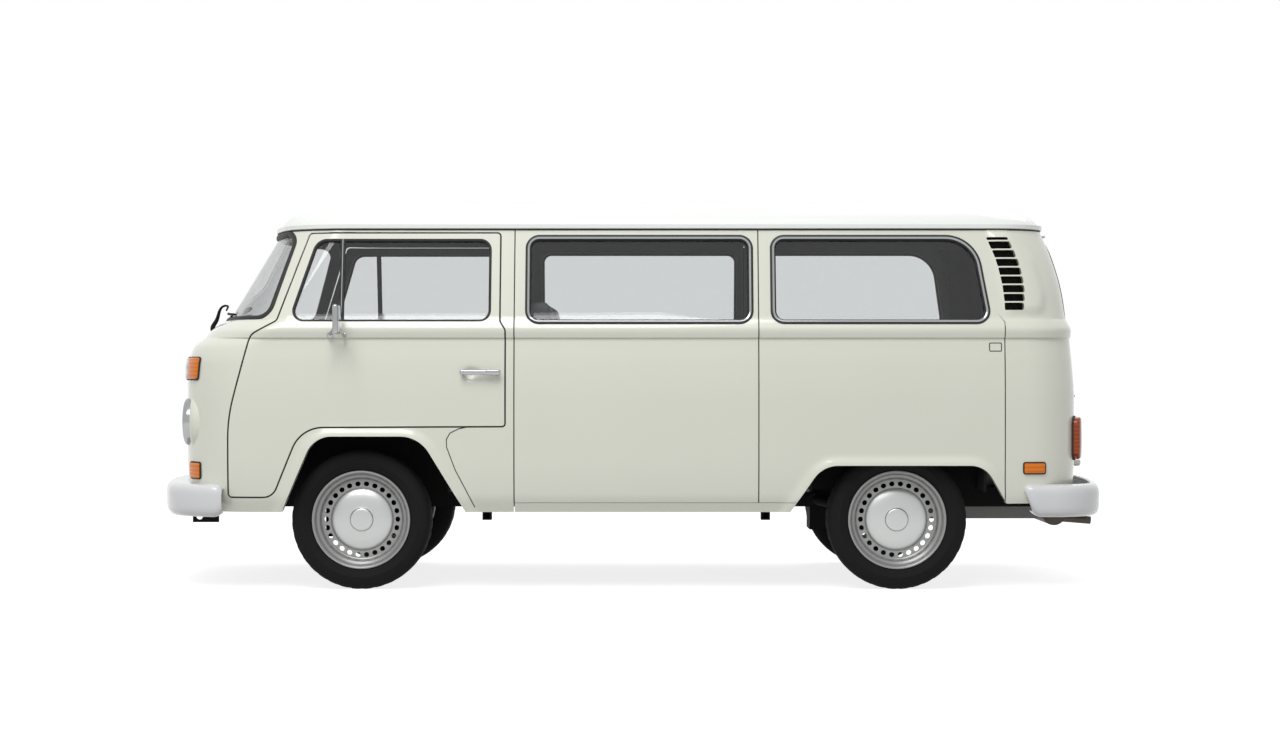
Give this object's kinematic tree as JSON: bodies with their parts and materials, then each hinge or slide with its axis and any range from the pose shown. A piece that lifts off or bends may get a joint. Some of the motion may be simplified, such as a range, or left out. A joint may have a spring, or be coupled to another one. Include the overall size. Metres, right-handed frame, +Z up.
{
  "type": "passenger van",
  "caption": "Forward-control passenger van with a bay windscreen, rear engine, opening cab doors, tailgate and engine lid, and steered front wheels.",
  "frame": {"origin": "on the ground below the middle of the whole van's box", "axes": "-X is the front, -Y the van's left side, +Z up"},
  "size_m": [4.3516, 2.034, 1.766],
  "materials": {
    "body_paint": "gloss",
    "roof_paint": "gloss",
    "window_glass": "clear",
    "amber_lens": "gloss",
    "red_lens": "gloss",
    "lamp_glass": "clear",
    "bumper_paint": "gloss",
    "floor_paint": "matt",
    "chassis_paint": "matt",
    "engine_metal": "cast",
    "exhaust_steel": "dull",
    "dark_plastic": "grained",
    "seat_vinyl": "matt",
    "wiper_black": "satin",
    "chrome": "polished",
    "tyre_rubber": "matt",
    "wheel_silver": "satin"
  },
  "bodies": {
    "body": {"front_body": "body_paint", "side_panel_left": "body_paint", "sliding_door": "body_paint", "rear_side_left": "body_paint", "rear_side_right": "body_paint", "tail_body": "body_paint", "sills": "body_paint", "roof_panel": "roof_paint", "windscreen": "window_glass", "side_glass": "window_glass", "amber_lamps": "amber_lens", "tail_lamps": "red_lens", "headlamps": "lamp_glass", "bumper_front": "bumper_paint", "bumper_rear": "bumper_paint", "floor_pan": "floor_paint", "front_wheelhouses": "floor_paint", "rear_wheelhouses": "floor_paint", "rear_deck": "floor_paint", "chassis_frame": "chassis_paint", "front_axle": "chassis_paint", "rear_axle": "chassis_paint", "engine": "engine_metal", "exhaust": "exhaust_steel", "dashboard": "dark_plastic", "steering_wheel": "dark_plastic", "front_seats": "seat_vinyl", "middle_bench": "seat_vinyl", "rear_bench": "seat_vinyl", "bench_frames": "chassis_paint", "wipers": "wiper_black"},
    "cab_door_left": {"cab_door_left": "body_paint", "cab_glass_left": "window_glass", "door_fittings_left": "chrome"},
    "cab_door_right": {"cab_door_right": "body_paint", "cab_glass_right": "window_glass", "door_fittings_right": "chrome"},
    "tailgate": {"tailgate": "body_paint", "tailgate_glass": "window_glass"},
    "engine_lid": {"engine_lid": "body_paint"},
    "knuckle_left": {"knuckle_left": "chassis_paint"},
    "knuckle_right": {"knuckle_right": "chassis_paint"},
    "tie_rod": {"tie_rod": "chassis_paint"},
    "wheel_front_left": {"tyre_front_left": "tyre_rubber", "wheel_front_left": "wheel_silver"},
    "wheel_front_right": {"tyre_front_right": "tyre_rubber", "wheel_front_right": "wheel_silver"},
    "wheel_rear_left": {"tyre_rear_left": "tyre_rubber", "wheel_rear_left": "wheel_silver"},
    "wheel_rear_right": {"tyre_rear_right": "tyre_rubber", "wheel_rear_right": "wheel_silver"}
  },
  "joints": [
    {"name": "cab_door_left_hinge", "type": "hinge", "parent": "body", "child": "cab_door_left", "pos_m": [-1.785, -0.866, 0.8], "axis": [0, 0, -1], "range_deg": [0, 65]},
    {"name": "cab_door_right_hinge", "type": "hinge", "parent": "body", "child": "cab_door_right", "pos_m": [-1.785, 0.866, 0.8], "axis": [0, 0, 1], "range_deg": [0, 65]},
    {"name": "tailgate_hinge", "type": "hinge", "parent": "body", "child": "tailgate", "pos_m": [1.92, 0, 1.6], "axis": [0, -1, 0], "range_deg": [0, 80]},
    {"name": "engine_lid_hinge", "type": "hinge", "parent": "body", "child": "engine_lid", "pos_m": [2.066, 0, 0.861], "axis": [0, -1, 0], "range_deg": [0, 70]},
    {"name": "steer_left", "type": "hinge", "parent": "body", "child": "knuckle_left", "pos_m": [-1.204, -0.59, 0.312], "axis": [0, 0, 1], "range_deg": [-28, 28]},
    {"name": "steer_right", "type": "hinge", "parent": "body", "child": "knuckle_right", "pos_m": [-1.204, 0.59, 0.312], "axis": [0, 0, 1], "range_deg": [-28, 28]},
    {"name": "tie_rod_slide", "type": "slide", "parent": "body", "child": "tie_rod", "axis": [0, 1, 0], "range_m": [-0.062, 0.062]},
    {"name": "roll_front_left", "type": "hinge", "parent": "knuckle_left", "child": "wheel_front_left", "pos_m": [-1.204, -0.695, 0.312], "axis": [0, 1, 0], "continuous": true},
    {"name": "roll_front_right", "type": "hinge", "parent": "knuckle_right", "child": "wheel_front_right", "pos_m": [-1.204, 0.695, 0.312], "axis": [0, 1, 0], "continuous": true},
    {"name": "roll_rear_left", "type": "hinge", "parent": "body", "child": "wheel_rear_left", "pos_m": [1.196, -0.7, 0.312], "axis": [0, 1, 0], "continuous": true},
    {"name": "roll_rear_right", "type": "hinge", "parent": "body", "child": "wheel_rear_right", "pos_m": [1.196, 0.7, 0.312], "axis": [0, 1, 0], "continuous": true}
  ],
  "couplings": [
    {"joint": "steer_right", "follows": "steer_left", "ratio": 1},
    {"joint": "tie_rod_slide", "follows": "steer_left", "m_per_rad": 0.1249}
  ]
}
